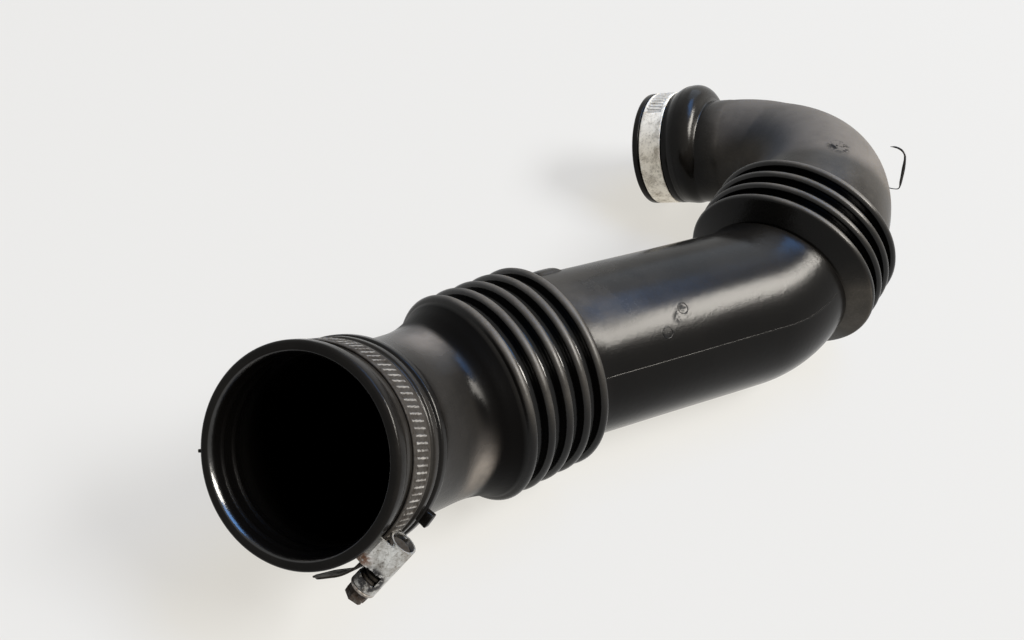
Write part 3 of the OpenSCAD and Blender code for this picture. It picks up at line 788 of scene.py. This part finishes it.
def band_mesh(clamp, ring_r, rib_from, rib_to, plain_grime, hollow_grime):
    """The strip as a closed section, drawn along its ring, strap, bend and tail.

    Its ribs run between two lengths along it. Grime lies on its plain part, and in the
    hollows between the ribs.
    """
    ring = 2 * pi * ring_r
    bend_from = ring + STRAP
    tail_from = bend_from + STRAP_BEND_R * STRAP_BEND
    end = tail_from + TAIL
    start = radians(1.5) * ring_r
    row_step = 0.38
    count = int((end - start) / row_step)
    around = len(STRIP_ROWS) * 2

    def strip(u):
        """Place on the strip's inner face, the way out of it, and half its width."""
        if u < ring:
            a = u / ring_r
            return ring_r * cos(a), ring_r * sin(a), cos(a), sin(a), STRIP_HALF
        if u < bend_from:
            return ring_r, u - ring, 1.0, 0.0, STRIP_HALF
        a = min((u - bend_from) / STRAP_BEND_R, STRAP_BEND)
        x = ring_r - STRAP_BEND_R + STRAP_BEND_R * cos(a)
        y = STRAP + STRAP_BEND_R * sin(a)
        past = max(u - tail_from, 0.0)
        narrow = smooth((past / TAIL - 0.45) / 0.55) ** 1.4
        half = mix(STRIP_HALF, 1.6, narrow)
        return x - past * sin(a), y + past * cos(a), cos(a), sin(a), half

    def rib(u, z):
        """How high the rib at a place stands, from 0 to 1."""
        if not rib_from <= u <= rib_to:
            return 0.0
        t = ((u - THREAD_SLANT * z) / THREAD_PITCH) % 1.0
        ridge = max(0.0, 1 - abs(t - 0.5) / 0.27) ** 0.7
        inside = smooth((z + 4.35) / 0.5) * smooth((4.55 - z) / 0.5)
        ends = smooth((u - rib_from) / 3.0) * smooth((rib_to - u) / 3.0)
        return ridge * inside * ends

    def place(i, j):
        u = mix(start, end, min(i, count) / count)
        x, y, out_x, out_y, half = strip(u)
        j = j % around
        outside = j < len(STRIP_ROWS)
        z = STRIP_ROWS[j if outside else around - 1 - j] * half / STRIP_HALF
        level = RIB_SUNK if abs(z) > half - 0.03 else 0.0
        if outside:
            sunk = RIB_SUNK * (abs(z) < 4.2 and rib_from < u < rib_to)
            level = STRIP_THICK - level + RIB_HEIGHT * rib(u, z) - sunk
        return (clamp @ Vector((x + out_x * level, y + out_y * level, z))) * MM

    def ribbed(i, j):
        """The grime at a place, and how high the rib there stands."""
        u = mix(start, end, min(i, count) / count)
        j = j % around
        z = STRIP_ROWS[j] if j < len(STRIP_ROWS) else 9.0
        hollows = smooth((4.9 - abs(z)) / 0.6) * (rib_from < u < rib_to)
        return (max(plain_grime, hollow_grime * hollows), rib(u, z), 0.0)

    bm = wrap_grid(count, around, place, ribbed, (end / 10.0, 1.0))
    bmesh.ops.holes_fill(bm, edges=[e for e in bm.edges if e.is_boundary], sides=0)
    bmesh.ops.recalc_face_normals(bm, faces=bm.faces)
    grime = bm.verts.layers.float["dirt_and_painted_light"]
    ribs = bm.verts.layers.float_vector["spot"]
    for v in bm.verts:
        # The ribs' tops are rubbed bright, some more than others
        amount, height, _ = v[ribs]
        bright = min(max(0.75 + 0.75 * noise.noise(v.co * 260.0), 0.15), 1.0)
        v[grime] = amount * (1 - smooth((height - 0.6) / 0.3) * bright)
    return bm


GRIME = grey(0.012, 1.2, 0.8)


def worn_steel(name, clean, stain, rough, seed, stained, tinted_spots=(), bare=1.0):
    """Bare or plated steel with stains, pits and, near some points, rust, or black grease with
    painted shade.
    """
    paint = Paint(name)
    moved = paint.shifted((seed, seed * 0.7, 0))
    spread = stained * 0.3
    cloud = paint.ramp(paint.noise(150.0, 6.0, 0.7, moved), 0.5 - spread, 0.78 - spread)
    pits = paint.ramp(paint.noise(900.0, 3.0, 0.6, moved), 0.54, 0.66)
    dirt = paint.plus(paint.times(cloud, 0.75), paint.times(pits, 0.4))
    colour = paint.blend(dirt, clean, stain)
    metal = paint.ramp(dirt, 0.2, 1.0, bare, bare * 0.55)
    for point, inner, outer, tint in tinted_spots:
        ragged = paint.ramp(paint.noise(420.0, 5.0, 0.7, moved), 0.36, 0.52)
        tint_mask = paint.times(paint.near(point, inner, outer), ragged)
        colour = paint.blend(tint_mask, colour, tint)
        metal = paint.minus(metal, tint_mask)
    # Grime fills the hollows between the ribs of a band
    grime = paint.attribute("dirt_and_painted_light")
    paint.set(
        Base_Color=paint.blend(grime, colour, GRIME),
        Metallic=paint.minus(metal, paint.times(grime, 0.9)),
        Roughness=paint.plus(paint.ramp(dirt, 0.0, 1.0, rough, rough + 0.3), paint.times(grime, 0.2)),
        Specular_IOR_Level=paint.ramp(grime, 0.0, 1.0, 0.4, 0.05),
    )
    paint.bump(paint.noise(700.0, 4.0, 0.7, moved), 0.25, 0.3 * MM)
    return paint.material


front_ring = 2 * pi * FRONT_RING_R
dark_steel = worn_steel(
    "dark_band_steel",
    clean=grey(0.55, 1.05, 0.93),
    stain=grey(0.03, 1.2, 0.8),
    rough=0.2,
    seed=0.0,
    stained=0.45,
)
piece(
    "front_band",
    band_mesh(
        FRONT_CLAMP,
        FRONT_RING_R,
        rib_from=8.0,
        rib_to=front_ring + 14.0,
        plain_grime=0.96,
        hollow_grime=0.9,
    ),
    dark_steel,
    "duct",
    "front_clamp_band",
)

# Housing of the front clamp. Plated sheet, rolled round the worm and pressed down to
# hold the strap and the band's start. The plating is dull, and has rusted at the window;
# by the window it is black with grease and painted shade.
SCREW_OUT = 5.75  # The screw's axis is this far out from the ring
RUST = (0.085, 0.036, 0.016, 1)
GREASE_AND_SHADE = (0.006, 0.005, 0.005, 1)


def in_clamp(clamp, x, y, z):
    """A point in a clamp's own millimetres, where it is on the duct, in metres."""
    return (clamp @ Vector((x, y, z))) * MM


front_axis = FRONT_RING_R + SCREW_OUT
zinc = worn_steel(
    "zinc_steel",
    clean=grey(0.62, 1.0, 0.97),
    stain=grey(0.09, 1.15, 0.8),
    rough=0.3,
    seed=0.031,
    stained=0.4,
    tinted_spots=[
        (in_clamp(FRONT_CLAMP, front_axis - 5.5, 12.5, -6.0), 1.5 * MM, 4.5 * MM, RUST),
        # Black grease by the window, with painted shade of the opening
        (in_clamp(FRONT_CLAMP, front_axis + 1.5, 17.5, -5.0), 4.5 * MM, 6.5 * MM, GREASE_AND_SHADE),
    ],
)


def plate(node):
    """A housing keeps its own solid, and is plated."""
    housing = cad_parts[node]
    housing.data.materials.clear()
    housing.data.materials.append(zinc)


plate("front_clamp_housing")

# Screw of the front clamp. Turned from steel, with a worm that runs in the band's ribs,
# a neck, a collar and a slotted hexagon head. It turns in the housing, greasy and rusty.
WORM_FROM, WORM_TO = 1.5, 21.2
WORM_R, THREAD_HEIGHT = 3.55, 0.85
SCREW_NECK_R, SCREW_COLLAR_R = 2.7, 5.3
HEAD_FROM, HEAD_TO = 24.6, 29.7
HEAD_R, HEAD_TOP_R = 4.62, 4.2
SLOT_FLOOR, SLOT_HALF = 27.2, 0.7


def turned(clamp, axis_x, profile, sides, extra):
    """A piece turned about the screw's axis: profile is (y, r), and extra(y, a) adds to r."""

    def place(i, j):
        y, r = profile[i]
        a = 2 * pi * (j % sides) / sides
        out = r + extra(y, a)
        return in_clamp(clamp, axis_x + out * cos(a), y, out * sin(a))

    return wrap_grid(len(profile) - 1, sides, place)


def thread(y, a):
    """Height of the worm's thread at a place along the screw and round it."""
    if not WORM_FROM < y < WORM_TO:
        return 0.0
    t = (y / THREAD_PITCH - a / (2 * pi)) % 1.0
    return THREAD_HEIGHT * min(1.0, max(0.0, 2.2 * (1 - abs(t - 0.5) / 0.36)))


def head_part(clamp, axis_x, low, high, side):
    """A hexagon on the screw's axis, or with a side, the part of it beside the slot."""
    part = new_mesh()
    bmesh.ops.create_cone(
        part, cap_ends=True, segments=6, radius1=HEAD_R, radius2=HEAD_R, depth=high - low
    )
    if side:
        bmesh.ops.bisect_plane(
            part,
            geom=part.verts[:] + part.edges[:] + part.faces[:],
            plane_co=(0, SLOT_HALF * side, 0),
            plane_no=(0, -side, 0),
            clear_outer=True,
        )
        bmesh.ops.holes_fill(part, edges=[e for e in part.edges if e.is_boundary], sides=0)
    sharp = [e for e in part.edges if len(e.link_faces) == 2 and e.calc_face_angle(0) > 0.4]
    bmesh.ops.bevel(
        part, geom=sharp, offset=0.3, affect="EDGES", segments=2, profile=0.5, material=-1
    )
    for v in part.verts:
        # A hexagon's corners are turned down at the top
        x, z, y = v.co.x, v.co.y, v.co.z + (low + high) / 2
        out = sqrt(x * x + z * z)
        if y > HEAD_TO - 0.7 and out > HEAD_TOP_R:
            x, z = x * HEAD_TOP_R / out, z * HEAD_TOP_R / out
        v.co = in_clamp(clamp, axis_x + x, y, z)
    for f in part.faces:
        f.smooth = False
    return part


def screw_mesh(clamp, axis_x):
    """The worm, neck and collar in one turned piece, and the head on top of them."""
    profile = [(WORM_FROM, 0.0), (WORM_FROM, 2.6), (1.9, 3.3)]
    profile += [(2.0 + 0.22 * k, WORM_R) for k in range(87)]
    profile += [(y, SCREW_NECK_R) for y in (WORM_TO, 21.3, 23.3)]
    profile += [(23.3, 4.9), (23.45, 5.2), (23.65, SCREW_COLLAR_R), (24.35, SCREW_COLLAR_R)]
    profile += [(24.6, 5.15), (24.7, 4.8), (24.7, 0.0)]
    bm = turned(clamp, axis_x, profile, 40, thread)
    # The head is whole up to the slot's floor, and has two halves beside the slot
    add_mesh(bm, head_part(clamp, axis_x, HEAD_FROM, SLOT_FLOOR, 0))
    for side in (1, -1):
        add_mesh(bm, head_part(clamp, axis_x, SLOT_FLOOR - 0.1, HEAD_TO, side))
    # Black grease on the worm, which is also painted shade inside the housing; the collar is clean,
    # and grime lies on the head
    into_clamp = clamp.inverted()
    grime = bm.verts.layers.float["dirt_and_painted_light"]
    for v in bm.verts:
        y = (into_clamp @ (v.co / MM)).y
        v[grime] = 0.95 if y < 22 else 0.0 if y < 24.8 else 0.75
    return bm


rusty_steel = worn_steel(
    "rusty_steel",
    clean=grey(0.45, 1.03, 0.95),
    stain=grey(0.06, 1.3, 0.7),
    rough=0.35,
    seed=0.07,
    stained=0.6,
    tinted_spots=[(in_clamp(FRONT_CLAMP, front_axis, 27, 0), 2 * MM, 8 * MM, RUST)],
)
piece(
    "front_screw",
    screw_mesh(FRONT_CLAMP, front_axis),
    rusty_steel,
    "front_screw",
    "front_clamp_screw",
)

# Rear clamp. The same strip, housing and screw round the narrow cuff. Its band is dull
# and stained, and ribs are pressed only into the stretch beside the screw.
REAR_CLAMP = OUTLET_MOUTH @ move(0, 0, -11.25) @ turn(15, "Z")
REAR_RING_R = 32.3
rear_ring = 2 * pi * REAR_RING_R
dull_steel = worn_steel(
    "dull_band_steel",
    clean=grey(0.93, 1.06, 0.88),
    stain=grey(0.35, 1.14, 0.78),
    rough=0.42,
    seed=0.013,
    stained=0.3,
    bare=0.2,
)
piece(
    "rear_band",
    band_mesh(
        REAR_CLAMP,
        REAR_RING_R,
        rib_from=rear_ring - 60.0,
        rib_to=rear_ring + 14.0,
        plain_grime=0.0,
        hollow_grime=0.5,
    ),
    dull_steel,
    "duct",
    "rear_clamp_band",
)
plate("rear_clamp_housing")
piece(
    "rear_screw",
    screw_mesh(REAR_CLAMP, REAR_RING_R + SCREW_OUT),
    rusty_steel,
    "rear_screw",
    "rear_clamp_screw",
)

# Floor. A white sheet that the duct lies on. Most of its light is its own, so that the
# shadows on it stay faint and warm.
floor_bm = bmesh.new()
bmesh.ops.create_grid(floor_bm, x_segments=1, y_segments=1, size=6.0)
bmesh.ops.translate(floor_bm, vec=(0, 0, cad_box[0][2]), verts=floor_bm.verts)
floor_mesh = bpy.data.meshes.new("floor")
floor_bm.to_mesh(floor_mesh)
floor_bm.free()
floor = bpy.data.objects.new("floor", floor_mesh)
bpy.context.scene.collection.objects.link(floor)
paper = Paint("white_floor")
paper.set(Base_Color=(0.085, 0.091, 0.1, 1), Roughness=0.9, Specular_IOR_Level=0.1)
paper.set(Emission_Color=(1.0, 0.965, 0.893, 1), Emission_Strength=0.665)
floor_mesh.materials.append(paper.material)

# Light. A warm window on the right, a blue ceiling above and a pale sky behind the duct,
# each an area lamp that faces the duct's middle.
MIDDLE = Vector((0.19, 0.06, -0.02))


def softbox(name, azimuth, elevation, distance, width, height, colour, power):
    """An area lamp that stands in a direction, in degrees."""
    lamp = bpy.data.lights.new(name, "AREA")
    lamp.shape = "RECTANGLE"
    lamp.size = width
    lamp.size_y = height
    lamp.color = colour
    lamp.energy = power
    stand = bpy.data.objects.new(name, lamp)
    a, e = radians(azimuth), radians(elevation)
    way = Vector((cos(e) * cos(a), cos(e) * sin(a), sin(e)))
    facing = way.to_track_quat("Z", "Y").to_matrix().to_4x4()
    stand.matrix_world = Matrix.Translation(MIDDLE + way * distance) @ facing
    bpy.context.scene.collection.objects.link(stand)


softbox("window", -42, 45, 8.0, 5.0, 2.2, (1.0, 0.95, 0.87), 1860)
softbox("ceiling", 0, 66, 8.0, 4.5, 2.8, (0.14, 0.42, 1.0), 400)
softbox("sky", 38, 40, 9.0, 5.5, 5.5, (0.65, 0.8, 1.0), 120)

# Room. What the camera, the gloss and clear things see past the floor is as pale as the
# floor, but the room itself sheds little light.
world = bpy.data.worlds.new("room")
bpy.context.scene.world = world
world.use_nodes = True
room = world.node_tree
ray = room.nodes.new("ShaderNodeLightPath")
seen = ray.outputs["Is Camera Ray"]
for kind in ("Is Glossy Ray", "Is Transmission Ray"):
    either = room.nodes.new("ShaderNodeMath")
    either.operation = "MAXIMUM"
    room.links.new(seen, either.inputs[0])
    room.links.new(ray.outputs[kind], either.inputs[1])
    seen = either.outputs[0]
pale = room.nodes.new("ShaderNodeMix")
pale.data_type = "RGBA"
shade, white = [socket for socket in pale.inputs if socket.type == "RGBA"]
shade.default_value = (0.04, 0.04, 0.04, 1)
white.default_value = (0.84, 0.84, 0.82, 1)
room.links.new(seen, pale.inputs[0])
tone = next(socket for socket in pale.outputs if socket.type == "RGBA")
room.links.new(tone, room.nodes["Background"].inputs["Color"])
room.nodes["Background"].inputs["Strength"].default_value = 1.0

# Camera. It stands where the photograph was taken from, half a metre from the duct and
# above it, as the perspective shows.
LENS, SENSOR = 40.54, 36
CAMERA_PLACE = Vector((-89.6, -274.2, 300.8))  # From the middle of the wide mouth
CAMERA_RIGHT = Vector((0.876, -0.476, 0.080))
camera = bpy.data.cameras.new("camera")
camera.sensor_width = SENSOR
camera.lens = LENS
camera.clip_start = 0.01
forward = CAMERA_WAY.normalized()
right = (CAMERA_RIGHT - forward * CAMERA_RIGHT.dot(forward)).normalized()
up = right.cross(forward)
wide_mouth = -FRONT_SEAT * (REST.to_3x3() @ Vector((0, 0, 1)))
tripod = (CAMERA_PLACE + wide_mouth) * MM
view = bpy.data.objects.new("camera", camera)
view.matrix_world = Matrix.Translation(tripod) @ Matrix((right, up, -forward)).transposed().to_4x4()
bpy.context.scene.collection.objects.link(view)
bpy.context.scene.camera = view
bpy.context.scene.view_settings.view_transform = "Standard"

bpy.context.view_layer.update()
